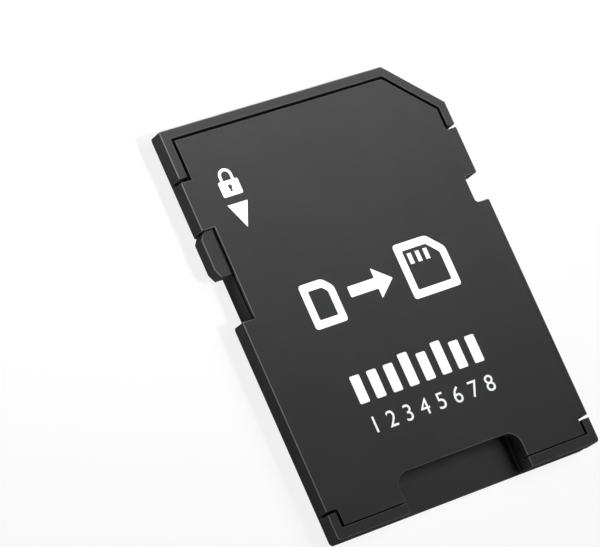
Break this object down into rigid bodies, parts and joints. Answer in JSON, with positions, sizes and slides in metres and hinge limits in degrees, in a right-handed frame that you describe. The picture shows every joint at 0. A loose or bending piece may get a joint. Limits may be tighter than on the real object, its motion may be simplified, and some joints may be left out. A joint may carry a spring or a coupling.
{
  "type": "memory card adapter",
  "caption": "Full-size memory card housing that takes a small memory card in its rear slot, with gold contact pads at the front and a sliding lock tab.",
  "frame": {"origin": "under the middle of the card, on its contact face", "axes": "+Y from the card slot towards the contact pads, +Z from the contact face to the label face, +X to the right when the label is read"},
  "size_m": [0.0242, 0.032, 0.0021],
  "materials": {
    "shell_plastic": "fine satin moulding",
    "slider_plastic": "fine satin moulding",
    "contact_gold": "gold-plated strip",
    "spring_steel": "rolled spring strip"
  },
  "bodies": {
    "housing": {"bottom_shell": "shell_plastic", "top_shell": "shell_plastic", "data2_lead": "contact_gold", "data3_lead": "contact_gold", "command_lead": "contact_gold", "supply_lead": "contact_gold", "clock_lead": "contact_gold", "ground_lead": "contact_gold", "data0_lead": "contact_gold", "data1_lead": "contact_gold", "detent_leaf": "spring_steel"},
    "lock": {"lock_slider": "slider_plastic"}
  },
  "joints": [
    {"name": "lock_slide", "type": "slide", "parent": "housing", "child": "lock", "axis": [0, -1, 0], "range_m": [0, 0.0036]}
  ]
}
